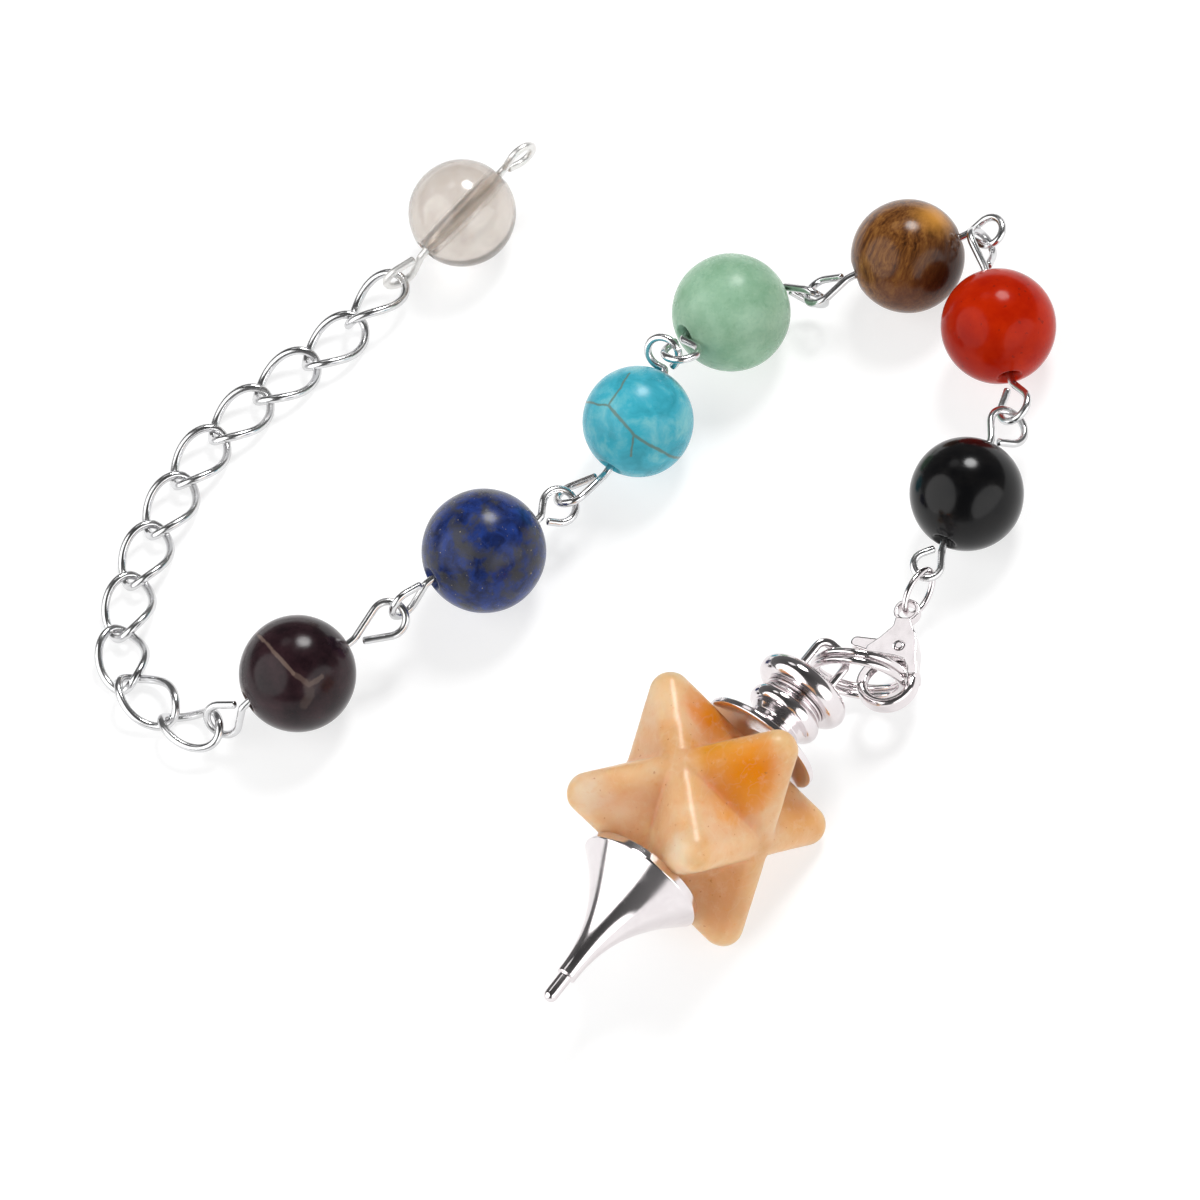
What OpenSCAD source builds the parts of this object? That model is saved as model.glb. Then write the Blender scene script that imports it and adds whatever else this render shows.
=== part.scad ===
// Pendulum pendant: a star-shaped stone between a pointed cone and a turned cap, on a string of
// eight round beads, a lobster clasp and a short curb chain. It lies on a flat surface, +Z up.

/* [Star stone] */
// Distance between neighbouring tip centres, along the edge of the star's cube
star_edge = 9.5; // [9:0.1:10]
// Radius of the worn tips and ridges
star_tip_r = 1.46; // [1.2:0.02:1.6]

/* [Cone point] */
// Length from the rim to the end of the point
cone_len = 11.6; // [10:0.1:13]
// Radius of the widest line, just under the lip
cone_r = 4.6; // [4:0.1:5]
// Height of the bevelled lip above the widest line
cone_lip_h = 0.7; // [0.5:0.1:1]
// Radius of the small round nib at the end
nib_r = 0.5; // [0.4:0.05:0.6]
// Length of the nib
nib_len = 2.2; // [1.8:0.1:2.6]
// Lean of the glued cone, in degrees
cone_lean = 1.3; // [0:0.1:3]

/* [Cap] */
// Radius of the dished flange on the stone
flange_r = 4.4; // [4.2:0.1:4.6]
// Radius of the small ring
small_ring_r = 2.75; // [2.5:0.05:3]
// Radius of the large ring
large_ring_r = 3.45; // [3.2:0.05:3.7]
// Sideways offset of the glued cap
cap_offset = 0.6; // [0:0.1:0.8]
// Width of the wire strap of the bail
bail_strap_w = 0.9; // [0.8:0.1:1.1]
// Outer width of the bail
bail_w = 3.1; // [2.9:0.05:3.2]
// Turn of the bail about the pendant's axis, in degrees
bail_turn = 37; // [20:1:45]

/* [Beads and wire] */
// Diameter of the hole through each bead
bead_hole_d = 1.1; // [1:0.1:1.3]
// Diameter of the wire of the bead pins
pin_d = 0.55; // [0.5:0.01:0.6]

/* [Chain] */
// Outer length of a curb link
link_len = 5.7; // [5.6:0.1:5.9]
// Outer width of a curb link
link_w = 3.9; // [3.7:0.1:4.1]
// Diameter of the link wire
link_d = 0.6; // [0.5:0.05:0.65]
// Distance from one link's middle to the next
link_pitch = 4.24; // [4.2:0.01:4.3]
// Twist of a link at each end, in degrees
link_twist = 40; // [35:1:45]

/* [Clasp] */
// Radius of the hook, to the middle of its section
hook_r = 1.8; // [1.7:0.05:1.9]
// Thickness of the clasp's cast body
clasp_t = 1.7; // [1.6:0.1:1.9]
// Thickness of the spring lever
lever_t = 0.7; // [0.6:0.05:0.8]
// Radius of the rivet that the lever turns on
rivet_r = 0.35; // [0.3:0.05:0.4]

/* [Hidden] */
silver = [0.8, 0.8, 0.82];

// Where the pieces lie. Every x and y below is measured from one point on the table, and
// layout_mid moves the middle of the whole layout to the origin.
layout_mid = [1.05, 0.84];

// The pendant's axis lies level, at the height of the stone's middle
star_xy = [1.15, -23.65];
star_z = star_edge / 2 + star_tip_r;
star_heading = 35.3;

// Beads: [x, y, diameter, heading of the hole, rise of the hole]; its forward end is end A
black = [26.2, -5.3, 7.9, 47, 6];
red = [32.4, 7.0, 8.0, 82, 12];
tiger = [28.3, 15.3, 7.9, -2, 0];
green = [15.5, 16.0, 8.2, 20, -17];
turquoise = [6.8, 10.3, 7.7, 38, 12];
lapis = [-6.3, 4.3, 8.6, 15, -8];
amethyst = [-21.3, 0.3, 8.1, 11, 0];
clear = [0.5, 32.3, 7.5, 24, 10];

// Loops of the pins: [x, y, z of the round end's middle, roll about the loop's own length,
// radius of the round end]
black_a = [30.5, -0.9, 3.5, 34, 1.35];
black_b = [21.9, -9.4, 3.45, -19, 0.95];
red_a = [33.35, 13.55, 4.6, 60, 1.15];
red_b = [31.4, 0.6, 3.4, 26, 1.2];
tiger_a = [34.15, 14.45, 4.5, 9, 1.05];
tiger_b = [21.8, 15.65, 3.2, 17, 1.1];
green_a = [21.05, 16.05, 2.45, 99, 1.1];
green_b = [11.3, 12.85, 6.25, -9, 1.2];
turquoise_a = [10.1, 13.6, 5.85, -24, 1.15];
turquoise_b = [0.75, 7.0, 3.15, 27, 1.1];
lapis_a = [-0.35, 6.25, 3.4, 35, 1.2];
lapis_b = [-12.7, 2.3, 4.55, -95, 1.1];
amethyst_a = [-14.1, 1.75, 4.3, 32, 1.2];
amethyst_b = [-27.25, -0.1, 2.6, -57, 1.2];
clear_a = [5.7, 34.35, 4.8, 102, 1.0];
clear_b = [-5.05, 30.55, 1.8, -102, 1.1];

// Curb chain: the first link's middle and the heading from each link to the next
link_first = [-7.3, 29.8];
link_headings = [-151, -161, -157, -150, -136, -131, -123, -112, -86];
link_z = 0.87;
link_start_heading = -165;
// Links lifted off the table at both ends of the chain: [x, y, z] and [roll, climb, heading]
first_link = [-7.4, 29.4, 1.4];
first_link_turn = [21, 0, -154];
tenth_link = [-31.6, 4.85, 1.1];
tenth_link_turn = [-1, 2, -63];
last_link = [-29.4, 1.3, 1.5];
last_link_turn = [169, -15, -53];

// Clasp, ring and oval link, held up between the bail and the string
clasp_mid = [16.45, -17.2, 3.0];
clasp_heading = 61.6;
split_mid = [14.8, -16.25, 3.95];
oval_mid = [20.7, -10.95, 3.0];
// Roll, climb and heading of the oval link, and its half length and half width
oval_turn = [78, -1, 43];
oval_a = 1.75;
oval_b = 1.15;
oval_d = 0.45;

// Clasp outline in its own frame: X from the hook to the eye, Y to the lever's side
pivot = [2.6, -0.5];
eye_mid = [5.8, -0.3];
eye_r = 0.92;
eye_hole_r = 0.62;
eye_t = 0.72;
hook_w = 0.7;
hook_from = 104;
hook_to = 285;
gate_from = 40;
gate_to = 98;
slot_h = lever_t + 0.16;
slot_floor = -1.12;
slot_end = 4.3;
lever_bore_r = rivet_r + 0.04;
hub_r = 0.54;
tab_mid = [3.05, 2.7];
tab_r = 0.46;

wire_sides = 6;
arc_steps = 13;
pin_out = 0.3;
// Least distance of a loop's free end from the hole's mouth, and half the distance between the
// middles of the two legs there
loop_stop = 0.45;
pin_apart = 0.31;
link_steps = 18;
split_d = 0.55;
split_r = 3.1;
split_pitch = 0.6;
split_turns = 1.9;
split_cross = 7;
split_steps = 36;

// Vectors and swept wire

function unit(v) = v / norm(v);
function reverse(p) = [for (i = [len(p) - 1:-1:0]) p[i]];
function next_side(n, t) = unit(n - t * (n * t));

// Tangent at each point, from the neighbours on either side
function tangents(p) = let (m = len(p) - 1)
    [for (i = [0:m]) unit(p[min(i + 1, m)] - p[max(i - 1, 0)])];

// Side vectors carried along an open path without twist
function carried(t, i, n) =
    i == len(t) - 1 ? [n] : concat([n], carried(t, i + 1, next_side(n, t[i + 1])));

function any_side(t) = next_side(abs(t[2]) < 0.9 ? [0, 0, 1] : [1, 0, 0], t);

function ring_points(p, t, n, d) = let (b = cross(t, n))
    [for (k = [0:wire_sides - 1]) let (a = 360 * k / wire_sides)
        p + d / 2 * (cos(a) * n + sin(a) * b)];

// Two triangles for each side between ring i and ring j
function band(i, j) = [for (k = [0:wire_sides - 1]) let (s = wire_sides, q = (k + 1) % s)
    each [[i * s + k, j * s + q, i * s + q], [i * s + k, j * s + k, j * s + q]]];

// Wire along an open path, with flat ends
module wire(path, d) {
    t = tangents(path);
    n = carried(t, 0, any_side(t[0]));
    m = len(path) - 1;
    polyhedron(
        points = [for (i = [0:m]) each ring_points(path[i], t[i], n[i], d)],
        faces = concat(
            [[for (k = [0:wire_sides - 1]) k]],
            [for (i = [0:m - 1]) each band(i, i + 1)],
            [[for (k = [wire_sides - 1:-1:0]) m * wire_sides + k]]));
}

// Wire along a closed path round the origin; each ring is set to the outward direction
module closed_wire(path, d) {
    m = len(path);
    rings = [for (i = [0:m - 1])
        let (t = unit(path[(i + 1) % m] - path[(i + m - 1) % m]))
        each ring_points(path[i], t, next_side(unit(path[i]), t), d)];
    polyhedron(points = rings, faces = [for (i = [0:m - 1]) each band(i, (i + 1) % m)]);
}

module on_table() {
    translate([-layout_mid[0], -layout_mid[1], 0]) children();
}

// Pendant

// Children drawn along +Z come to lie along the pendant's axis, from the stone's middle
module on_axis() {
    on_table() translate([star_xy[0], star_xy[1], star_z])
        rotate([0, 0, star_heading]) rotate([0, 90, 0]) children();
}

// Every second corner of a cube makes one tetrahedron, and the other corners its twin
module rounded_tetrahedron(flip) {
    hull() for (c = [[1, 1, 1], [1, -1, -1], [-1, 1, -1], [-1, -1, 1]])
        translate(flip * c * star_edge / 2) sphere(r = star_tip_r, $fn = 32);
}

module star_stone() {
    color([0.93, 0.68, 0.4]) on_axis() {
        rounded_tetrahedron(1);
        rounded_tetrahedron(-1);
    }
}

// Flared outline: the radius grows with a power of the distance from the nib
flare_steps = 9;
flare_power = 2.3;
flare_r0 = 0.72;
cone_bite = 0.15;
cone_offset = 0.15;
seat_gap = 0.05;

module cone_point() {
    flare_len = cone_len - cone_lip_h - nib_len;
    rim = cone_bite - star_z;
    color(silver) on_axis() difference() {
        translate([0, -cone_offset, rim]) rotate([-cone_lean, 0, 0]) {
            rotate_extrude($fn = 64) polygon(concat(
                [[0, -cone_len + nib_len], [flare_r0, -cone_len + nib_len]],
                [for (i = [0:flare_steps]) let (f = i / flare_steps)
                    [flare_r0 + (cone_r - flare_r0) * pow(f, flare_power),
                     -cone_len + nib_len + 0.15 + (flare_len - 0.15) * f]],
                [[cone_r - 0.22, 0], [cone_r - 0.6, 0], [1, -0.5], [0, -0.5]]));
            translate([0, 0, -cone_len + nib_r])
                cylinder(r = nib_r, h = nib_len - nib_r + 0.2, $fn = 32);
            translate([0, 0, -cone_len + nib_r]) sphere(r = nib_r, $fn = 32);
        }
        // Two crossing ridges of the stone are let into the rim
        translate([0, 0, -star_edge / 2]) for (a = [45, 135]) rotate([90, 0, a])
            cylinder(r = star_tip_r + seat_gap, h = 2 * star_edge, center = true, $fn = 48);
    }
}

// Cap heights, measured from the stone's middle along the axis
flange_z = star_z + 0.06;
small_ring_z = 9.3;
large_ring_z = 11.4;
ring_h = 0.75;
large_ring_h = 0.9;
cap_top = 12.3;
bail_t = 0.6;
bail_h = 3.3;
bail_corner_r = 1.15;

module cap() {
    color(silver) on_axis() translate([0, -cap_offset, 0]) {
        rotate_extrude($fn = 64) {
            polygon([[0, flange_z + 0.5], [1.2, flange_z + 0.45], [flange_r - 0.25, flange_z],
                [flange_r, flange_z + 0.12], [flange_r, flange_z + 0.5], [3.2, flange_z + 0.85],
                [2.2, flange_z + 1.5], [1.9, small_ring_z - 0.6], [1.9, large_ring_z - 0.4],
                [large_ring_r - large_ring_h, large_ring_z],
                [large_ring_r - large_ring_h, cap_top], [0, cap_top]]);
            translate([small_ring_r - ring_h, small_ring_z]) circle(r = ring_h, $fn = 32);
            translate([1.7, small_ring_z + ring_h - 0.1]) square([0.65, 0.22]);
            translate([1.7, small_ring_z + ring_h + 0.3]) square([0.6, 0.2]);
            translate([large_ring_r - large_ring_h, large_ring_z])
                circle(r = large_ring_h, $fn = 32);
        }
        translate([0, 0, cap_top]) rotate([0, 0, bail_turn]) bail();
    }
}

// Strap bent to a U, standing on the cap's top
module bail() {
    rotate([90, 0, 90]) translate([0, 0, -bail_strap_w / 2])
        linear_extrude(height = bail_strap_w) difference() {
            staple(bail_w, bail_h, bail_corner_r, 0.2);
            staple(bail_w - 2 * bail_t, bail_h - bail_t, bail_corner_r - bail_t, 0.3);
        }
}

// Upright shape with two round upper corners; its foot reaches below the base line
module staple(w, h, r, foot) {
    translate([-w / 2, -foot]) square([w, h - r + foot]);
    translate([-w / 2 + r, 0]) square([w - 2 * r, h]);
    for (s = [-1, 1]) translate([s * (w / 2 - r), h - r]) circle(r = r, $fn = 48);
}

// Two close turns of round wire, upright between the bail and the clasp
module split_ring() {
    across = unit([0.853, -0.425, -0.301]);
    up = next_side([0.194, -0.277, 0.941], across);
    side = cross(across, up);
    from = 200;
    path = [for (i = [0:split_steps])
        let (f = i / split_steps, a = from + 360 * split_turns * f,
             step = max(-0.5, min(0.5, (f - 0.5) * split_cross)))
        split_mid + split_r * (cos(a) * across + sin(a) * up) + side * split_pitch * step];
    color(silver) on_table() wire(path, split_d);
}

// Clasp

module on_clasp() {
    on_table() translate(clasp_mid) rotate([0, 0, clasp_heading]) children();
}

// Section of the hook: a tall bar with round top and bottom
module hook_section() {
    h = 1.35;
    translate([-hook_w / 2, -h / 2 + hook_w / 2]) square([hook_w, h - hook_w]);
    for (s = [-1, 1]) translate([0, s * (h - hook_w) / 2]) circle(r = hook_w / 2, $fn = 24);
}

module clasp_body() {
    color(silver) on_clasp() difference() {
        union() {
            rotate([0, 0, hook_from]) rotate_extrude(angle = hook_to - hook_from, $fn = 64)
                translate([hook_r, 0]) hook_section();
            translate([0, 0, -clasp_t / 2]) linear_extrude(height = clasp_t)
                polygon([[4.9, -0.85], [4.9, 0.2], [4.2, 0.25], [3.3, 0.95], [2.5, 1.75],
                    [2.15, 1.85], [1.95, 1.6], [1.85, 0.6], [1.75, -0.35], [1.55, -1.0],
                    [0.9, -1.4], [0.35, -1.5], [0.4, -2.13], [0.9, -2.1], [1.7, -1.85],
                    [2.9, -1.7], [3.6, -1.5], [4.3, -1.1]]);
            translate([0, 0, -eye_t / 2]) linear_extrude(height = eye_t) {
                translate(eye_mid) circle(r = eye_r, $fn = 32);
                translate([4.6, -0.8]) square([0.8, 1]);
            }
        }
        translate([eye_mid[0], eye_mid[1], -clasp_t])
            cylinder(r = eye_hole_r, h = 2 * clasp_t, $fn = 32);
        translate([pivot[0], pivot[1], -clasp_t])
            cylinder(r = rivet_r + 0.01, h = 2 * clasp_t, $fn = 32);
        translate([-0.5, slot_floor, -slot_h / 2]) cube([slot_end + 0.5, 4, slot_h]);
    }
}

module clasp_rivet() {
    h = clasp_t + 0.1;
    color(silver) on_clasp() translate([pivot[0], pivot[1], -h / 2])
        cylinder(r = rivet_r, h = h, $fn = 32);
}

// Lever: a hub on the rivet, a thumb tab outside and a curved gate that closes the hook
module clasp_lever() {
    color(silver) on_clasp() translate([0, 0, -lever_t / 2])
        linear_extrude(height = lever_t) difference() {
            union() {
                translate(pivot) circle(r = hub_r, $fn = 32);
                polygon([[3.12, -0.6], [3.4, 1.2], [3.5, 2.6], [2.6, 2.7], [2.35, 1.9],
                    [1.3, 1.65], [1.2, 1.1], [1.9, 0.4], [2.08, -0.6]]);
                translate(tab_mid) circle(r = tab_r, $fn = 32);
                intersection() {
                    difference() {
                        circle(r = hook_r + hook_w / 2, $fn = 64);
                        circle(r = hook_r - hook_w / 2, $fn = 64);
                    }
                    polygon([[0, 0], 4 * [cos(gate_from), sin(gate_from)], [1, 4],
                        4 * [cos(gate_to), sin(gate_to)]]);
                }
            }
            translate(pivot) circle(r = lever_bore_r, $fn = 32);
        }
}

// Oval link between the clasp's eye and the first bead
module clasp_link() {
    path = [for (i = [0:link_steps - 1]) let (t = 360 * i / link_steps)
        [oval_a * cos(t), oval_b * sin(t), 0]];
    color(silver) on_table() translate(oval_mid) rotate([0, oval_turn[1], oval_turn[2]])
        rotate([oval_turn[0], 0, 0]) closed_wire(path, oval_d);
}

// Beads

function bead_mid(b) = [b[0], b[1], b[2] / 2];
function hole_dir(b) = [cos(b[4]) * cos(b[3]), cos(b[4]) * sin(b[3]), sin(b[4])];
function bead_end(b, side) = bead_mid(b) + side * b[2] / 2 * hole_dir(b);

// Drilled ball with a shallow countersink at both ends of the hole
module bead(b) {
    r = b[2] / 2;
    sink = 0.4;
    on_table() translate(bead_mid(b)) rotate([0, 90 - b[4], b[3]]) difference() {
        sphere(r = r, $fn = 48);
        cylinder(d = bead_hole_d, h = 3 * r, center = true, $fn = 24);
        for (s = [0, 180]) rotate([s, 0, 0]) translate([0, 0, r - sink])
            cylinder(r1 = bead_hole_d / 2, r2 = bead_hole_d / 2 + 2 * sink, h = 2 * sink, $fn = 24);
    }
}

// Points of a pear-shaped loop: a straight leg from the bead, the round end, and the other
// leg, which stops where it would touch the first
function loop_path(start, loop) =
    let (ring = [loop[0], loop[1], loop[2]], reach = norm(ring - start),
         u = (ring - start) / reach, n0 = next_side([0, 0, 1], u),
         n = n0 * cos(loop[3]) + cross(u, n0) * sin(loop[3]), v = cross(n, u),
         lean = asin(loop[4] / reach),
         arc = [for (i = [0:arc_steps]) let (a = 90 + lean - i * (180 + 2 * lean) / arc_steps)
            ring + loop[4] * (cos(a) * u + sin(a) * v)],
         back = unit(arc[arc_steps] - start), stop = max(loop_stop, pin_apart * reach / loop[4]))
    concat([start + 0.3 * unit(arc[0] - start)], arc, [start + stop * back]);

// The wire comes straight out of the hole by pin_out before it bends into a loop
module pin(b, loop_a, loop_b) {
    out = pin_out * hole_dir(b);
    a = bead_end(b, 1);
    z = bead_end(b, -1);
    color(silver) on_table() wire(concat(reverse(loop_path(a + out, loop_a)),
        [a - out, z + out], loop_path(z - out, loop_b)), pin_d);
}

module pin_black() { pin(black, black_a, black_b); }
module pin_red() { pin(red, red_a, red_b); }
module pin_tiger() { pin(tiger, tiger_a, tiger_b); }
module pin_green() { pin(green, green_a, green_b); }
module pin_turquoise() { pin(turquoise, turquoise_a, turquoise_b); }
module pin_lapis() { pin(lapis, lapis_a, lapis_b); }
module pin_amethyst() { pin(amethyst, amethyst_a, amethyst_b); }
module pin_clear() { pin(clear, clear_a, clear_b); }

module bead_black() { color([0.06, 0.06, 0.07]) bead(black); }
module bead_red() { color([0.72, 0.13, 0.03]) bead(red); }
module bead_tiger() { color([0.45, 0.26, 0.1]) bead(tiger); }
module bead_green() { color([0.52, 0.66, 0.54]) bead(green); }
module bead_turquoise() { color([0.26, 0.62, 0.7]) bead(turquoise); }
module bead_lapis() { color([0.13, 0.18, 0.4]) bead(lapis); }
module bead_amethyst() { color([0.2, 0.13, 0.14]) bead(amethyst); }
module bead_clear() { color([0.75, 0.7, 0.67]) bead(clear); }

// Curb chain

function link_mid(i) = i == 0 ? link_first
    : link_mid(i - 1) + link_pitch * [cos(link_headings[i - 1]), sin(link_headings[i - 1])];
function link_heading(i) =
    ((i == 0 ? link_start_heading : link_headings[i - 1]) + link_headings[i]) / 2;

// Oval ring whose two ends are twisted opposite ways, so that links lie flat in a chain
module curb_link() {
    a = (link_len - link_d) / 2;
    b = (link_w - link_d) / 2;
    path = [for (i = [0:link_steps - 1])
        let (t = 360 * i / link_steps, x = a * cos(t), twist = link_twist * x / a)
        [x, b * sin(t) * cos(twist), b * sin(t) * sin(twist)]];
    closed_wire(path, link_d);
}

// A link at any place; its turn is [roll, climb, heading]
module placed_link(place, turn) {
    color(silver) on_table() translate(place) rotate([0, turn[1], turn[2]])
        rotate([turn[0], 0, 0]) curb_link();
}

module flat_link(i) {
    placed_link(concat(link_mid(i), [link_z]), [0, 0, link_heading(i)]);
}

module chain_link_01() { placed_link(first_link, first_link_turn); }
module chain_link_02() { flat_link(1); }
module chain_link_03() { flat_link(2); }
module chain_link_04() { flat_link(3); }
module chain_link_05() { flat_link(4); }
module chain_link_06() { flat_link(5); }
module chain_link_07() { flat_link(6); }
module chain_link_08() { flat_link(7); }
module chain_link_09() { flat_link(8); }
module chain_link_10() { placed_link(tenth_link, tenth_link_turn); }
module chain_link_11() { placed_link(last_link, last_link_turn); }

star_stone();
cone_point();
cap();
split_ring();
clasp_body();
clasp_lever();
clasp_rivet();
clasp_link();
bead_black();
bead_red();
bead_tiger();
bead_green();
bead_turquoise();
bead_lapis();
bead_amethyst();
bead_clear();
pin_black();
pin_red();
pin_tiger();
pin_green();
pin_turquoise();
pin_lapis();
pin_amethyst();
pin_clear();
chain_link_01();
chain_link_02();
chain_link_03();
chain_link_04();
chain_link_05();
chain_link_06();
chain_link_07();
chain_link_08();
chain_link_09();
chain_link_10();
chain_link_11();
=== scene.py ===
# Looks of the pendulum pendant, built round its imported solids. Lengths are in millimetres
# until a mesh is made.
import math

import bmesh
import bpy
import numpy as np
from mathutils import Matrix, Vector


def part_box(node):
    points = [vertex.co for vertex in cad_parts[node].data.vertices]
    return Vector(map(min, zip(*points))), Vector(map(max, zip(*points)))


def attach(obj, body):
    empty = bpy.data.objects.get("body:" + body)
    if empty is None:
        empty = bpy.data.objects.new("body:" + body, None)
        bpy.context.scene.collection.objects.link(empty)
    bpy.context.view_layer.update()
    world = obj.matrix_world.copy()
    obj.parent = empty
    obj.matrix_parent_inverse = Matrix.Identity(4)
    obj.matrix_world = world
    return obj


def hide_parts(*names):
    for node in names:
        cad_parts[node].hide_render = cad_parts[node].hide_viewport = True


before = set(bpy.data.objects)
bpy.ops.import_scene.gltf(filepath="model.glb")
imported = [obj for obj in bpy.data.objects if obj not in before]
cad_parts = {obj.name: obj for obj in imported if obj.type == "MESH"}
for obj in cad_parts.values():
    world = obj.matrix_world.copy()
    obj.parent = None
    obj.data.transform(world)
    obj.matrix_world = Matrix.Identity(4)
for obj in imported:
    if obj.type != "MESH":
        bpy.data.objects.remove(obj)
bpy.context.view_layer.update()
mm = 0.001
print("frame loaded,", len(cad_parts), "nodes")


# Camera and lights

view = {
    "elevation": 54.7,            # degrees above the surface
    "roll": 20.6,                 # degrees
    "widthSeen": 82.8,            # across the picture
    "aim": (-1.05, -0.84, 0.0),   # point under the picture's middle
    "distance": 2400.0,
    "sensor": 36.0,               # width of the camera's sensor
    "clip": (0.05, 20.0),         # nearest and farthest seen, in metres
}

# Oval lights: where each stands in metres, its width and height, and how bright its face is
studio = {
    "key": {"at": (0.30, 0.27, 0.52), "size": (0.23, 0.23), "bright": 23.0},
    "leftCard": {"at": (-0.60, -0.08, 0.44), "size": (1.15, 1.1), "bright": 1.9},
    "rightCard": {"at": (0.38, -0.57, 0.13), "size": (1.0, 0.8), "bright": 1.9},
    "topCard": {"at": (0.0, 0.46, 0.66), "size": (0.24, 0.24), "bright": 1.1},
}
skyGrey = {"low": 0.16, "high": 0.05}    # at the horizon and overhead


# Sides of the picture as directions in the room: to its right, to its top, and towards the eye
def viewAxes():
    e, r = math.radians(view["elevation"]), math.radians(view["roll"])
    return np.array([(math.cos(r), -math.sin(r) * math.sin(e), -math.sin(r) * math.cos(e)),
                     (math.sin(r), math.cos(r) * math.sin(e), math.cos(r) * math.cos(e)),
                     (0.0, -math.cos(e), math.sin(e))])


# Camera on the line of sight through the aim: lens = sensor width x distance / width seen
def makeCamera():
    right, up, back = viewAxes()
    data = bpy.data.cameras.new("camera")
    data.sensor_width = view["sensor"]
    data.lens = view["sensor"] * view["distance"] / view["widthSeen"]
    data.clip_start, data.clip_end = view["clip"]
    cam = bpy.data.objects.new("camera", data)
    place = [(view["aim"][k] + view["distance"] * back[k]) * mm for k in range(3)]
    cam.matrix_world = Matrix([[right[k], up[k], back[k], place[k]] for k in range(3)]
                              + [[0, 0, 0, 1]])
    bpy.context.collection.objects.link(cam)
    bpy.context.scene.camera = cam


# Light that faces the room's middle: power = brightness x area of its oval x pi
def makeLight(name, facts):
    data = bpy.data.lights.new(name, "AREA")
    data.shape = "ELLIPSE"
    data.size, data.size_y = facts["size"]
    area = data.size * data.size_y * (math.pi / 4)
    data.energy = facts["bright"] * area * math.pi
    light = bpy.data.objects.new(name, data)
    away = Vector(facts["at"]).normalized()
    turn = away.to_track_quat("Z", "Y").to_matrix().to_4x4()
    light.matrix_world = Matrix.Translation(facts["at"]) @ turn
    bpy.context.collection.objects.link(light)


# Sky: its grey goes from the horizon's to overhead with the height that a ray points to
def makeWorld():
    world = bpy.data.worlds.new("studio")
    bpy.context.scene.world = world
    world.use_nodes = True
    tree = world.node_tree
    back = tree.nodes["Background"]
    coords = tree.nodes.new("ShaderNodeTexCoord")
    split = tree.nodes.new("ShaderNodeSeparateXYZ")
    ramp = tree.nodes.new("ShaderNodeValToRGB")
    for stop, grey in zip(ramp.color_ramp.elements, (skyGrey["low"], skyGrey["high"])):
        stop.color = (grey, grey, grey, 1)
    tree.links.new(coords.outputs["Generated"], split.inputs[0])
    tree.links.new(split.outputs["Z"], ramp.inputs[0])
    tree.links.new(ramp.outputs[0], back.inputs[0])


makeCamera()
for name, facts in studio.items():
    makeLight(name, facts)
makeWorld()
bpy.context.scene.view_settings.view_transform = "Standard"
print("camera and lights done")


# Materials

# Links a socket to an output or sets its value; a colour of three numbers gets full alpha
def feed(tree, socket, value):
    if hasattr(value, "is_output"):
        tree.links.new(value, socket)
    elif socket.type == "RGBA":
        socket.default_value = (*value, 1)
    else:
        socket.default_value = value


# Names with capitals are a node's sockets, the others are its own settings
def filled(tree, node, **values):
    for key, value in values.items():
        if key[0].isupper():
            feed(tree, node.inputs[key.replace("_", " ")], value)
        else:
            setattr(node, key, value)
    return node


# New node, filled in at once
def put(tree, kind, **values):
    return filled(tree, tree.nodes.new(kind), **values)


# Colour ramp through (place, colour) stops; a colour of one number is a grey
def ramped(tree, factor, stops):
    node = put(tree, "ShaderNodeValToRGB", Fac=factor)
    elements = node.color_ramp.elements
    for k, (at, colour) in enumerate(stops):
        e = elements[k] if k < 2 else elements.new(at)
        e.position = at
        e.color = (*colour, 1) if hasattr(colour, "__len__") else (colour, colour, colour, 1)
    return node.outputs["Color"]


# Blend of two colours: a where the factor is 0, b where it is 1
def mixed(tree, factor, a, b):
    node = put(tree, "ShaderNodeMix", data_type="RGBA")
    for k, value in ((0, factor), (6, a), (7, b)):
        feed(tree, node.inputs[k], value)
    return node.outputs[2]


# Colour with a tone laid over it: the share of the tone is mask x depth
def tinted(tree, colour, tone, mask, depth):
    return mixed(tree, numberMath(tree, "MULTIPLY", mask, depth), colour, tone)


# Object coordinates in millimetres, centred on a place, turned by degrees and stretched
def placed(tree, centre=(0, 0, 0), turn=(0, 0, 0), stretch=(1, 1, 1)):
    coords = put(tree, "ShaderNodeTexCoord").outputs["Object"]
    moved = vectorMath(tree, "SUBTRACT", coords, [c * mm for c in centre])
    return put(tree, "ShaderNodeMapping", vector_type="TEXTURE", Vector=moved,
               Rotation=[math.radians(t) for t in turn],
               Scale=[mm / s for s in stretch]).outputs[0]


# Noise from 0 to 1; scale is in waves for each millimetre
def noise(tree, where, scale, detail=4.0, rough=0.5, warp=0.0):
    return put(tree, "ShaderNodeTexNoise", Vector=where, Scale=scale, Detail=detail,
               Roughness=rough, Distortion=warp).outputs["Fac"]


# Vector arithmetic on outputs or constants; some kinds give a number
def vectorMath(tree, how, *given):
    node = put(tree, "ShaderNodeVectorMath", operation=how)
    for socket, value in zip(node.inputs, given):
        feed(tree, socket, value)
    return node.outputs["Value" if how in ("DOT_PRODUCT", "DISTANCE", "LENGTH") else "Vector"]


# Arithmetic on outputs or constants
def numberMath(tree, how, *given):
    node = put(tree, "ShaderNodeMath", operation=how)
    for socket, value in zip(node.inputs, given):
        feed(tree, socket, value)
    return node.outputs[0]


# Eased step from low to high, either way round: 3 t t - 2 t t t of the way t between them
def eased(tree, value, low, high):
    return put(tree, "ShaderNodeMapRange", interpolation_type="SMOOTHSTEP", Value=value,
               From_Min=low, From_Max=high).outputs[0]


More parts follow.
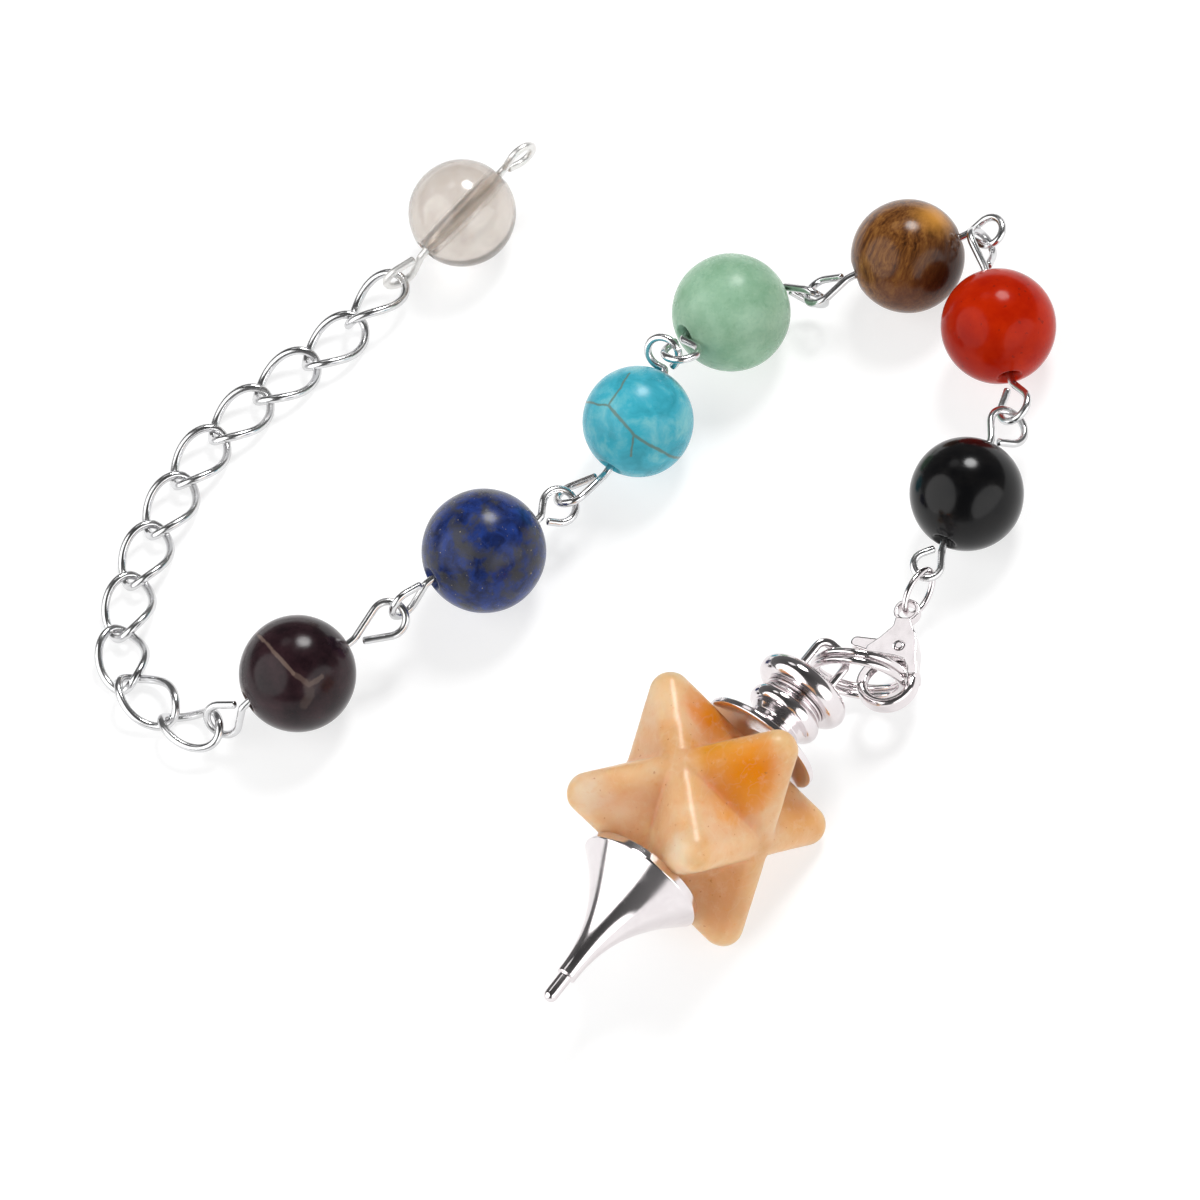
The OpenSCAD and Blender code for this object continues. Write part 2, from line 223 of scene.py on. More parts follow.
# Coordinates pushed about by a slow noise: place + amount x (noise - a half)
def pushed(tree, where, scale, amount):
    drift = put(tree, "ShaderNodeTexNoise", Vector=where, Scale=scale, Detail=3.0).outputs["Color"]
    drift = vectorMath(tree, "SUBTRACT", drift, (0.5, 0.5, 0.5))
    return vectorMath(tree, "ADD", where, vectorMath(tree, "MULTIPLY", drift, (amount,) * 3))


# Soft spot: 1 round its middle and 0 at its reach
def spot(tree, where, at, reach, core=0.0):
    return eased(tree, vectorMath(tree, "DISTANCE", where, tuple(at)), reach, reach * core)


# New node group: its inputs are (name, kind, value), its outputs (name, kind)
def makeGroup(name, inputs, outputs):
    group = bpy.data.node_groups.new(name, "ShaderNodeTree")
    face = group.interface
    for label, kind, value in inputs:
        socket = face.new_socket(label, in_out="INPUT", socket_type="NodeSocket" + kind)
        socket.default_value = value
    for label, kind in outputs:
        face.new_socket(label, in_out="OUTPUT", socket_type="NodeSocket" + kind)
    return group, put(group, "NodeGroupInput").outputs


# Distance from a point on a ball to the arc over a straight piece between two places: the
# nearest place on the piece is moved out to the point's own distance from the middle
def makeNearArc():
    group, given = makeGroup("nearArc", [(name, "Vector", (0, 0, 0))
                                         for name in ("Point", "Start", "End")],
                             [("Distance", "Float")])
    point, start, end = given["Point"], given["Start"], given["End"]
    along = vectorMath(group, "SUBTRACT", end, start)
    part = numberMath(group, "DIVIDE",
                      vectorMath(group, "DOT_PRODUCT",
                                 vectorMath(group, "SUBTRACT", point, start), along),
                      vectorMath(group, "DOT_PRODUCT", along, along))
    part = put(group, "ShaderNodeClamp", Value=part).outputs[0]
    near = vectorMath(group, "ADD", start, vectorMath(group, "MULTIPLY", along, part))
    near = vectorMath(group, "MULTIPLY", vectorMath(group, "NORMALIZE", near),
                      vectorMath(group, "LENGTH", point))
    put(group, "NodeGroupOutput", Distance=vectorMath(group, "DISTANCE", point, near))
    return group


nearArc = makeNearArc()


# Crack through places on a ball: 1 on it and 0 beside it. Its line wanders by rag, and a
# noise makes it thicker and thinner
def crack(tree, where, places, width, rag=0.25):
    bent = pushed(tree, where, 0.7, rag)
    least = None
    for start, end in zip(places[:-1], places[1:]):
        far = put(tree, "ShaderNodeGroup", node_tree=nearArc, Point=bent, Start=start,
                  End=end).outputs[0]
        least = far if least is None else numberMath(tree, "MINIMUM", least, far)
    broken = numberMath(tree, "MULTIPLY", noise(tree, where, 2.2, 3), 1.1 * width)
    return eased(tree, numberMath(tree, "SUBTRACT", least, broken), width * 0.9, 0.0)


# Handling marks of polished metal. Its colour goes to the tarnish in cloudy smudges, it is
# rougher in the same clouds, and its height is half a grain and half long fine scratches
def makeHandledMetal():
    group, given = makeGroup(
        "handledMetal",
        [("Bright", "Color", (0.8, 0.8, 0.8, 1)), ("Tarnish", "Color", (0.6, 0.55, 0.5, 1)),
         ("Smudge", "Float", 0.3), ("Dull", "Float", 0.0)],
        [("Color", "Color"), ("Roughness", "Float"), ("Height", "Float")])
    where = placed(group)
    cloud = noise(group, where, 0.55, 5, 0.6, 0.4)
    patch = ramped(group, cloud, [(0.38, 0.0), (0.72, 1.0)])
    grain = noise(group, where, 9.0, 4, 0.65)
    scratch = noise(group, placed(group, turn=(20, 30, 40), stretch=(1, 14, 14)), 1.6, 3, 0.7)
    smudged = numberMath(group, "MULTIPLY", patch, given["Smudge"])
    rough = put(group, "ShaderNodeMapRange", Value=cloud, From_Min=0.3, From_Max=0.75,
                To_Min=0.06, To_Max=0.2).outputs[0]
    put(group, "NodeGroupOutput",
        Color=mixed(group, smudged, given["Bright"], given["Tarnish"]),
        Roughness=numberMath(group, "ADD", rough, given["Dull"]),
        Height=mixed(group, 0.5, grain, scratch))
    return group


# Tumbled stone: its polish breaks up in rubbed spots, up to 0.09 rougher, and in tiny pits
def makeTumbled():
    group, given = makeGroup("tumbledStone", [("Polish", "Float", 0.1)],
                             [("Roughness", "Float"), ("Height", "Float")])
    where = placed(group)
    rubbed = ramped(group, noise(group, where, 0.9, 5, 0.6), [(0.5, 0.0), (0.75, 1.0)])
    pits = ramped(group, noise(group, where, 7.0, 3, 0.6), [(0.3, 0.0), (0.45, 1.0)])
    put(group, "NodeGroupOutput", Height=pits,
        Roughness=numberMath(group, "MULTIPLY_ADD", rubbed, 0.09, given["Polish"]))
    return group


handledMetal = makeHandledMetal()
tumbledStone = makeTumbled()


# New material, with its tree and its shader
def blank(name):
    mat = bpy.data.materials.new(name)
    mat.use_nodes = True
    return mat, mat.node_tree, mat.node_tree.nodes["Principled BSDF"]


relief = {"depth": 0.01, "metal": 0.25}    # depth of all bumps, and how strong metal's are


# Lets a height bump the shader's surface, at a strength
def bumped(tree, shader, height, strength):
    bump = put(tree, "ShaderNodeBump", Strength=strength, Distance=relief["depth"] * mm,
               Height=height)
    filled(tree, shader, Normal=bump.outputs[0])


# Polished metal: bright and tarnished colour, how much is smudged, and roughness added
def metal(name, bright, tarnish, smudge, dull):
    mat, tree, shader = blank(name)
    worn = put(tree, "ShaderNodeGroup", node_tree=handledMetal, Bright=bright,
               Tarnish=tarnish, Smudge=smudge, Dull=dull).outputs
    filled(tree, shader, Metallic=1.0, Base_Color=worn["Color"], Roughness=worn["Roughness"])
    bumped(tree, shader, worn["Height"], relief["metal"])
    return mat


# What a stone has where its own look doesn't say otherwise
plainStone = {
    "glow": 0.0,               # share of the light that goes in and comes out near by
    "glowReach": 0.6,
    "tint": (0.9, 0.7, 0.6),   # how far each colour of it goes
    "clear": 0.0,              # share of the light that goes through
    "shine": 0.2,
    "bending": 1.54,           # quartz bends light by this
}


# Tumbled stone of a look, still without its colour
def stone(name, look):
    look = {**plainStone, **look}
    mat, tree, shader = blank(name)
    marks = put(tree, "ShaderNodeGroup", node_tree=tumbledStone, Polish=look["polish"]).outputs
    filled(tree, shader, Roughness=marks["Roughness"], Subsurface_Weight=look["glow"],
           Subsurface_Radius=look["tint"], Subsurface_Scale=look["glowReach"] * mm,
           Transmission_Weight=look["clear"], IOR=look["bending"],
           Specular_IOR_Level=look["shine"])
    bumped(tree, shader, marks["Height"], look["pits"])
    return mat, tree, shader


silverWire = metal("silverWire", (0.72, 0.72, 0.73), (0.5, 0.49, 0.47), smudge=0.3, dull=0.08)
dullWire = metal("dullWire", (0.85, 0.84, 0.82), (0.6, 0.58, 0.56), smudge=0.3, dull=0.3)
pendantMetal = metal("pendantMetal", (0.80, 0.755, 0.765), (0.6, 0.54, 0.55), smudge=0.3,
                     dull=0.0)
print("metal done")


# Meshes from numpy surfaces

weld = 0.0005    # points nearer than this become one


# Vectors divided by their lengths
def unitOf(v):
    return v / np.maximum(np.linalg.norm(v, axis=-1, keepdims=True), 1e-9)


# Quads between neighbouring lines of a grid of points; a wrapped side joins its last to its first
def gridFaces(rows, cols, wrapRows=False, wrapCols=False):
    i, j = np.meshgrid(np.arange(rows if wrapRows else rows - 1),
                       np.arange(cols if wrapCols else cols - 1), indexing="ij")
    i2, j2 = (i + 1) % rows, (j + 1) % cols
    quads = np.stack([i * cols + j, i2 * cols + j, i2 * cols + j2, i * cols + j2], -1)
    return quads.reshape(-1, 4)


# Makes a piece of surfaces, each (points, quads): seams and poles are welded, and faces turned
# outwards by the sign of the volume
def makePiece(name, surfaces, material, nodes):
    points, faces, start = [], [], 0
    for p, q in surfaces:
        p = p.reshape(-1, 3)
        tri = np.concatenate([q[:, [0, 1, 2]], q[:, [0, 2, 3]]])
        a, b, c = p[tri[:, 0]], p[tri[:, 1]], p[tri[:, 2]]
        if np.einsum("ij,ij->i", a - p.mean(0), np.cross(b - p.mean(0), c - p.mean(0))).sum() < 0:
            tri = tri[:, ::-1]
        points.append(p)
        faces.append(tri + start)
        start += len(p)
    points, tri = np.concatenate(points), np.concatenate(faces)
    same, where = np.unique(np.round(points / weld).astype(np.int64), axis=0,
                            return_index=True, return_inverse=True)[1:]
    points, tri = points[same], where.reshape(-1)[tri]
    tri = tri[(tri[:, 0] != tri[:, 1]) & (tri[:, 1] != tri[:, 2]) & (tri[:, 2] != tri[:, 0])]
    mesh = bpy.data.meshes.new(name)
    mesh.vertices.add(len(points))
    mesh.vertices.foreach_set("co", (points * mm).astype(np.float32).ravel())
    mesh.loops.add(len(tri) * 3)
    mesh.loops.foreach_set("vertex_index", tri.astype(np.int32).ravel())
    mesh.polygons.add(len(tri))
    mesh.polygons.foreach_set("loop_start", np.arange(0, len(tri) * 3, 3, dtype=np.int32))
    mesh.update(calc_edges=True)
    mesh.validate()
    mesh.shade_smooth()
    obj = bpy.data.objects.new(name, mesh)
    bpy.context.collection.objects.link(obj)
    finish(obj, material, nodes)


# Gives a piece its material, hangs it on its body's empty, and hides the solids that it stands in
# for
def finish(obj, material, nodes, body="pendulum"):
    obj.data.materials.clear()
    obj.data.materials.append(material)
    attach(obj, body)
    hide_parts(*nodes)


# Turn about X, then Y, then Z, in degrees
def rotation(roll, climb, heading):
    r, c, h = np.radians([roll, climb, heading])
    rx = np.array([[1, 0, 0], [0, np.cos(r), -np.sin(r)], [0, np.sin(r), np.cos(r)]])
    ry = np.array([[np.cos(c), 0, np.sin(c)], [0, 1, 0], [-np.sin(c), 0, np.cos(c)]])
    rz = np.array([[np.cos(h), -np.sin(h), 0], [np.sin(h), np.cos(h), 0], [0, 0, 1]])
    return rz @ ry @ rx


# Even spacing along a line of points, then a bell-shaped blur that rounds its corners
def evenPath(points, spacing, blur=0.0, trim=0.0):
    step = np.linalg.norm(np.diff(points, axis=0), axis=1)
    along = np.concatenate([[0], np.cumsum(step)])
    count = max(8, int((along[-1] - 2 * trim) / spacing))
    at = np.linspace(trim, along[-1] - trim, count)
    path = np.stack([np.interp(at, along, points[:, k]) for k in range(points.shape[1])], 1)
    if blur > 0:
        reach = int(3 * blur / spacing) + 1    # the bell is next to nothing past three blurs
        kernel = np.exp(-0.5 * (np.arange(-reach, reach + 1) * spacing / blur) ** 2)
        kernel /= kernel.sum()
        padded = np.concatenate([2 * path[0] - path[reach:0:-1], path,
                                 2 * path[-1] - path[-2:-reach - 2:-1]])
        path = np.stack([np.convolve(padded[:, k], kernel, "valid")
                         for k in range(path.shape[1])], 1)
    return path


# Side vectors carried along a path from ring to ring without twist
def carried(path):
    along = unitOf(np.gradient(path, axis=0))
    side = np.empty_like(path)
    side[0] = np.cross(along[0], [0.3, 0.5, 0.81])
    for k in range(len(path)):
        last = side[max(k - 1, 0)]
        side[k] = unitOf(last - along[k] * (last @ along[k]))
    return along, side


# Unit circles round the points of a path: cos a x side + sin a x across
def circles(side, across, count):
    a = np.linspace(0, 2 * np.pi, count, endpoint=False)
    return np.cos(a)[None, :, None] * side[:, None] + np.sin(a)[None, :, None] * across[:, None]


wireEnd = {"rings": (0, 25, 50, 72), "height": 0.5}    # dome in degrees, and against its radius


# Round wire: each ring is centre + radius x unit circle. Open ends are domed
def wire(path, diameter, sides=16):
    along, side = carried(path)
    r = diameter / 2
    dome = np.radians(wireEnd["rings"])
    rise = wireEnd["height"] * r * np.cos(dome)
    size = np.concatenate([r * np.sin(dome), np.full(len(path), r), r * np.sin(dome[::-1])])
    shift = np.concatenate([-rise, np.zeros(len(path)), rise[::-1]])
    at = np.concatenate([np.zeros(len(dome), int), np.arange(len(path)),
                         np.full(len(dome), len(path) - 1)])
    centre = path[at] + along[at] * shift[:, None]
    ring = circles(side[at], np.cross(along, side)[at], sides)
    points = centre[:, None] + size[:, None, None] * ring
    return points, gridFaces(len(at), sides, wrapCols=True)


# Closed wire round a middle: the side vector of each ring points outwards
def closedWire(path, middle, diameter, sides=14):
    along = unitOf(np.roll(path, -1, 0) - np.roll(path, 1, 0))
    out = path - middle
    side = unitOf(out - along * (out * along).sum(1, keepdims=True))
    points = path[:, None] + diameter / 2 * circles(side, np.cross(along, side), sides)
    return points, gridFaces(len(path), sides, True, True)


# Outline (radius, height) turned round its axis
def lathe(outline, turns=96):
    a = np.linspace(0, 2 * np.pi, turns, endpoint=False)
    points = np.stack([outline[:, :1] * np.cos(a), outline[:, :1] * np.sin(a),
                       np.repeat(outline[:, 1:], turns, 1)], -1)
    return points, gridFaces(len(outline), turns, wrapCols=True)


# Points of an arc in the outline's plane, from one angle to another in degrees
def arc(middle, radius, first, last, count=24):
    a = np.radians(np.linspace(first, last, count))
    return np.stack([middle[0] + radius * np.cos(a), middle[1] + radius * np.sin(a)], 1)


# Soft waves that add a hand-made unevenness: the mean of six sines, each with its own
# direction, start and length round the given one
def waves(points, size, seed):
    rng = np.random.default_rng(seed)
    total = np.zeros(points.shape[:-1])
    count = 6
    for k in range(count):
        turn = unitOf(rng.normal(size=3)) * 2 * np.pi / (size * rng.uniform(0.6, 1.4))
        total += np.sin(points @ turn + rng.uniform(0, 2 * np.pi)) / count
    return total


# Pendant

star = {
    "cubeEdge": 9.5,      # edge of the cube whose corners are the tips' middles
    "tipRadius": 1.46,
    "valley": 0.35,       # rounding where the two tetrahedra meet
    "skin": 0.08,         # taken off everywhere, for the waves
    "waves": ((0.05, 4.0, 3), (0.02, 1.5, 5)),    # height, length, seed
}
pendant = {
    "at": (0.10, -24.49),     # the stone's middle on the surface
    "heading": 35.3,          # degrees
    "height": star["cubeEdge"] / 2 + star["tipRadius"],
}


# The pendant's own frame: its +Z runs level along the axis, from the stone's middle
def onAxis(points):
    h = math.radians(pendant["heading"])
    x, y, z = points[..., 0], points[..., 1], points[..., 2]
    level = np.stack([z * math.cos(h) - y * math.sin(h), z * math.sin(h) + y * math.cos(h), -x], -1)
    return level + np.array([*pendant["at"], pendant["height"]])


# Where a ray from the middle leaves a rounded tetrahedron's corners and edges: the farther of
# its four corner balls and the six cylinders between them
def tetrahedronReach(ray, corners, radius):
    best = np.zeros(ray.shape[:-1])
    for c in corners:
        b = ray @ c
        d = b * b - c @ c + radius ** 2
        best = np.maximum(best, np.where(d > 0, b + np.sqrt(np.maximum(d, 0)), 0))
    for i in range(4):
        for j in range(i + 1, 4):
            p, q = corners[i], corners[j]
            e = unitOf(q - p)
            flat = ray - (ray @ e)[..., None] * e
            base = p - (p @ e) * e
            a = (flat ** 2).sum(-1)
            b = flat @ base
            d = b * b - a * (base @ base - radius ** 2)
            t = np.where(d > 0, (b + np.sqrt(np.maximum(d, 0))) / np.maximum(a, 1e-9), 0)
            s = (t[..., None] * ray - p) @ e
            best = np.maximum(best, np.where((s > 0) & (s < np.linalg.norm(q - p)), t, 0))
    return best


# A tetrahedron's full reach: its rounded corners and edges, or its flat faces moved out
def tetrahedronFull(ray, corners):
    ball = star["tipRadius"]
    reach = tetrahedronReach(ray, corners, ball)
    normals = -unitOf(corners)
    face = np.linalg.norm(corners[0]) / 3
    facing = ray @ normals.T
    t = np.where(facing > 1e-6, (face + ball) / np.maximum(facing, 1e-6), 1e9)
    k = np.argmin(t, -1)
    flat = np.take_along_axis(t, k[..., None], -1)[..., 0]
    foot = ray * flat[..., None] - ball * normals[k]
    inside = np.ones(flat.shape, bool)
    for n in range(4):
        inside &= (foot @ normals[n]) <= face + 1e-6
    return np.where(inside, np.maximum(reach, flat), reach)


# The larger of two, rounded where they are closer than width: a h + b (1 - h) + width h (1 - h)
def softMax(a, b, width):
    h = np.clip(0.5 + (a - b) / (2 * width), 0, 1)
    return a * h + b * (1 - h) + width * h * (1 - h)


# Star stone: six square grids, one for each side of the cube round it, pushed out to the
# farther of two rounded tetrahedra, with soft valleys between them
def starStone(count=88):
    half = star["cubeEdge"] / 2
    corners = half * np.array([[1, 1, 1], [1, -1, -1], [-1, 1, -1], [-1, -1, 1]], float)
    grid = np.tan(np.linspace(-np.pi / 4, np.pi / 4, count))
    u, v = np.meshgrid(grid, grid, indexing="ij")
    surfaces = []
    for k in range(3):
        for s in (-1, 1):
            ray = np.empty(u.shape + (3,))
            ray[..., k], ray[..., (k + 1) % 3], ray[..., (k + 2) % 3] = s, u * s, v
            ray = unitOf(ray)
            reach = [tetrahedronFull(ray, side * corners) for side in (1, -1)]
            far = softMax(reach[0], reach[1], star["valley"]) - star["skin"]
            points = ray * far[..., None]
            uneven = sum(high * waves(points, size, seed) for high, size, seed in star["waves"])
            surfaces.append((onAxis(points + ray * uneven[..., None]), gridFaces(count, count)))
    return surfaces


cone = {
    "length": 11.6, "radius": 4.6,
    "lip": 0.7,                # height of the lip
    "nibRadius": 0.5, "nibLength": 2.2,
    "collar": 0.62,            # radius of the nib's upper edge
    "neck": 0.72,              # radius where the flare starts
    "flare": 2.3,              # power with which the radius grows
    "lean": 1.3,               # degrees off the axis
    "shift": 0.15,             # off the axis, to the surface
    "bite": 0.15,              # how far the rim reaches in over the stone
}


# Cone: the radius grows with a power of the distance from the nib, then a bevelled lip
def conePoint():
    s = cone
    low, lip = -s["length"], -s["lip"]
    top = low + s["nibLength"]
    f = np.linspace(0, 1, 60)
    flare = np.stack([s["neck"] + (s["radius"] - s["neck"]) * f ** s["flare"],
                      top + 0.15 + (lip - top - 0.15) * f], 1)
    outline = np.concatenate([
        arc((0, low + s["nibRadius"]), s["nibRadius"], -90, 0, 14),
        [[s["nibRadius"], top - 0.03], [s["collar"], top], [s["neck"], top + 0.05]], flare,
        [[s["radius"] - 0.02, lip + 0.12], [s["radius"] - 0.22, 0],
         [s["radius"] - 0.6, 0], [1, -0.5], [0.0, -0.5]]])
    outline = evenPath(outline, 0.05, 0.03)
    outline[[0, -1], 0] = 0
    points, faces = lathe(outline)
    points = points @ rotation(-s["lean"], 0, 0).T
    points = points + [0, -s["shift"], s["bite"] - pendant["height"]]
    return [(onAxis(points), faces)]


cap = {
    "flange": 4.4,               # radius
    "smallRing": (2.75, 0.75),   # radius over all, and of its rounding
    "largeRing": (3.45, 0.9),
    "smallAt": 9.3, "largeAt": 11.4, "top": 12.3,    # along the axis
    "neck": 1.95,
    "shift": 0.6,                # off the axis
    "lift": 0.06,                # of the flange, off the stone's box
}


# Cap: a dished flange on the stone, a neck with a small ring and a large ring, flat on top
def capShape():
    z = pendant["height"] + cap["lift"]
    f, neck, smallZ, top = cap["flange"], cap["neck"], cap["smallAt"], cap["top"]
    (small, smallRound), (large, largeRound) = cap["smallRing"], cap["largeRing"]
    outline = np.concatenate([
        [[0, z + 0.5], [1.2, z + 0.45], [f - 0.25, z], [f - 0.05, z + 0.04], [f, z + 0.14],
         [f, z + 0.46], [f - 0.1, z + 0.55]],
        [[3.2, z + 0.85], [2.2, z + 1.5], [neck, z + 1.9]],
        arc((small - smallRound, smallZ), smallRound, -70, 75, 20),
        [[2.35, smallZ + 0.68], [2.35, smallZ + 0.84], [neck, smallZ + 0.9],
         [neck, smallZ + 1.02], [2.3, smallZ + 1.06], [2.3, smallZ + 1.22], [2.0, smallZ + 1.3]],
        arc((large - largeRound, cap["largeAt"]), largeRound, -85, 85, 26),
        [[large - largeRound, top], [0, top]]])
    outline = evenPath(outline, 0.05, 0.035)
    outline[[0, -1], 0] = 0
    surfaces = [lathe(outline), bailShape(top)]
    return [(onAxis(p + [0, -cap["shift"], 0]), q) for p, q in surfaces]


bail = {
    "width": 3.1, "height": 3.3, "wire": 0.6,
    "strap": 0.9,      # how wide the strap is
    "turn": 37,        # degrees about the axis
    "bend": 0.85,      # radius of its two bends
    "foot": 0.3,       # how deep it stands in the cap
    "square": 0.6,     # power that squares the strap's section: 1 is an oval
}


# Bail: a strap with rounded edges bent to a staple; its two feet stand in the cap's top
def bailShape(top, sides=28):
    s = bail
    w, h, r = s["width"] / 2 - s["wire"] / 2, s["height"] - s["wire"] / 2, s["bend"]
    line = np.concatenate([[[-w, -s["foot"]], [-w, 0]], arc((-w + r, h - r), r, 180, 90),
                           arc((w - r, h - r), r, 90, 0), [[w, 0], [w, -s["foot"]]]])
    line = evenPath(line, 0.06, 0.05)
    along = unitOf(np.gradient(line, axis=0))
    normal = np.stack([-along[:, 1], along[:, 0]], 1)
    a = np.linspace(0, 2 * np.pi, sides, endpoint=False)
    c, d = np.cos(a), np.sin(a)
    thick = s["wire"] / 2 * np.sign(c) * np.abs(c) ** s["square"]
    wide = s["strap"] / 2 * np.sign(d) * np.abs(d) ** s["square"]
    plane = line[:, None] + thick[None, :, None] * normal[:, None]
    turn = math.radians(s["turn"])
    x, y = np.broadcast_to(wide[None, :], plane.shape[:2]), plane[..., 0]
    points = np.stack([x * math.cos(turn) - y * math.sin(turn),
                       x * math.sin(turn) + y * math.cos(turn), top + plane[..., 1]], -1)
    return points, gridFaces(len(line), sides, wrapCols=True)


# Zones of the star's colour, one darkened as painted shade and two lightened as painted light:
# middle (right, up, towards the eye) as it lies, reach, colour, depth
starZones = (
    ((3.2, 2.6, 5.5), 3.9, (0.9, 0.33, 0.002), 1.0),
    ((3.0, 0.6, 5.5), 2.4, (0.86, 0.35, 0.015), 0.8),
    ((0.9, 4.4, 4.7), 2.8, (0.84, 0.34, 0.01), 0.95),
    # Amber at the top tip by the cap, made darker as painted shade of the cap's flange
    ((1.2, 6.2, 0.6), 3.3, (0.86, 0.27, 0.001), 1.0),
    # This zone and the next lie in the valley between the left arm and the near tip, and are paler
    # than the stone's own colour: painted light against the valley's shade
    ((-3.3, -2.4, 3.9), 1.9, (0.96, 0.7, 0.38), 0.9),
    ((-5.0, -0.1, 4.4), 1.8, (0.95, 0.74, 0.52), 0.8),
    ((1.7, -7.0, 1.8), 2.8, (0.74, 0.43, 0.21), 0.8),
    ((7.0, -0.6, -0.5), 2.8, (0.78, 0.37, 0.09), 0.9),
    ((0.2, -0.9, 8.0), 1.6, (0.9, 0.68, 0.44), 0.8),
    ((-1.0, -2.6, 8.2), 2.3, (0.94, 0.77, 0.57), 0.85),
    ((-0.3, 2.1, 5.9), 1.5, (0.88, 0.54, 0.24), 0.8),
    ((-7.2, 1.2, 4.4), 2.1, (0.95, 0.77, 0.62), 0.9),
    ((5.4, 4.9, 5.7), 1.4, (0.92, 0.62, 0.34), 0.7),
    ((-2.4, 7.4, 1.8), 2.6, (0.95, 0.7, 0.46), 0.8),
)

starLook = {"polish": 0.3, "pits": 0.08, "glow": 1.0, "glowReach": 3.2, "clear": 0.35,
            "tint": (1, 0.75, 0.5), "shine": 0.12}


# Citrine: a peach body, amber and milky zones in it (partly painted shade and painted light),
# veils, fine iron specks, tiny bubbles and healed cracks, which are where a stretched noise is
# close to a half
def starMaterial():
    mat, tree, shader = stone("starQuartz", starLook)
    where = placed(tree, (*pendant["at"], pendant["height"]))
    loose = pushed(tree, pushed(tree, where, 0.25, 3.0), 1.1, 1.0)
    cloud = noise(tree, where, 0.3, 6, 0.6, 0.6)
    colour = ramped(tree, cloud, [(0.3, (0.79, 0.44, 0.19)), (0.5, (0.86, 0.53, 0.27)),
                                  (0.7, (0.9, 0.63, 0.4))])
    for middle, reach, tone, depth in starZones:
        mask = spot(tree, loose, np.array(middle) @ viewAxes(), reach, 0.1)
        colour = tinted(tree, colour, tone, mask, depth)
    fine = noise(tree, pushed(tree, where, 0.8, 0.8), 1.3, 8, 0.72)
    colour = tinted(tree, colour, (0.97, 0.8, 0.62), eased(tree, fine, 0.52, 0.7), 0.3)
    colour = tinted(tree, colour, (0.78, 0.34, 0.06), eased(tree, fine, 0.46, 0.3), 0.35)
    speck = eased(tree, noise(tree, where, 3.2, 2, 0.4), 0.71, 0.76)
    colour = tinted(tree, colour, (0.5, 0.16, 0.03), speck, 0.6)
    bubble = noise(tree, pushed(tree, where, 3.0, 0.2), 4.2, 3, 0.5)
    colour = tinted(tree, colour, (1.0, 0.9, 0.76), eased(tree, bubble, 0.74, 0.78), 0.35)
    grown = placed(tree, turn=(30, 20, 60), stretch=(0.5, 2.0, 2.0))
    healed = numberMath(tree, "SUBTRACT", noise(tree, grown, 0.4, 2, 0.4), 0.5)
    healed = eased(tree, numberMath(tree, "ABSOLUTE", healed), 0.03, 0.0)
    colour = tinted(tree, colour, (0.95, 0.82, 0.66), healed, 0.1)
    filled(tree, shader, Base_Color=colour)
    return mat


makePiece("starStone", starStone(), starMaterial(), ["star_stone"])
makePiece("conePoint", conePoint(), pendantMetal, ["cone_point"])
makePiece("cap", capShape(), pendantMetal, ["cap"])
print("pendant done")


# Split ring

splitRing = {
    "at": (13.75, -17.09, 3.95),
    "across": (0.853, -0.425, -0.301), "up": (0.194, -0.277, 0.941),    # its plane
    "radius": 3.1, "wire": 0.55,
    "pitch": 0.6,     # between the two turns
    "turns": 1.9,
    "from": 200,      # where the wire starts, in degrees
    "cross": 7,       # how quickly it crosses over
}


# Two close turns: a circle whose centre steps sideways by one wire at the crossing
def splitRingShape():
    s = splitRing
    across = unitOf(np.array(s["across"]))
    up = np.array(s["up"])
    up = unitOf(up - across * (up @ across))
    side = np.cross(across, up)
    f = np.linspace(0, 1, 240)[:, None]
    a = np.radians(s["from"] + 360 * s["turns"] * f)
    step = np.clip((f - 0.5) * s["cross"], -0.5, 0.5)
    path = np.array(s["at"]) + s["radius"] * (np.cos(a) * across + np.sin(a) * up) \
        + side * s["pitch"] * step
    return [wire(evenPath(path, 0.12, 0.15), s["wire"])]


makePiece("splitRing", splitRingShape(), pendantMetal, ["split_ring"])


# Clasp

clasp = {"voxel": 0.055, "smooth": 5, "factor": 0.5}    # grain, rounds of smoothing, strength


# Cast look for a solid: its merged copy is remeshed and smoothed, which rounds every edge
def castFrom(node, name, material, body):
    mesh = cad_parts[node].data.copy()
    mesh.name = name
    shell = bmesh.new()
    shell.from_mesh(mesh)
    bmesh.ops.remove_doubles(shell, verts=shell.verts, dist=0.001 * mm)
    shell.to_mesh(mesh)
    shell.free()
    obj = bpy.data.objects.new(name, mesh)
    bpy.context.collection.objects.link(obj)
    remesh = obj.modifiers.new("remesh", "REMESH")
    remesh.mode, remesh.voxel_size = "VOXEL", clasp["voxel"] * mm
    smooth = obj.modifiers.new("smooth", "SMOOTH")
    smooth.factor, smooth.iterations = clasp["factor"], clasp["smooth"]
    done = bpy.data.meshes.new_from_object(obj.evaluated_get(bpy.context.evaluated_depsgraph_get()))
    obj.modifiers.clear()
    obj.data = done
    done.name = name
    done.shade_smooth()
    finish(obj, material, [node], body)


castFrom("clasp_body", "claspBody", pendantMetal, "pendulum")
castFrom("clasp_lever", "claspLever", pendantMetal, "lever")
castFrom("clasp_rivet", "claspRivet", pendantMetal, "pendulum")
print("clasp done")


# Oval link between the clasp's eye and the first bead

ovalLink = {"at": (19.65, -11.79, 3.0), "turn": (78, -1, 43), "long": 1.75, "short": 1.15,
            "wire": 0.45}


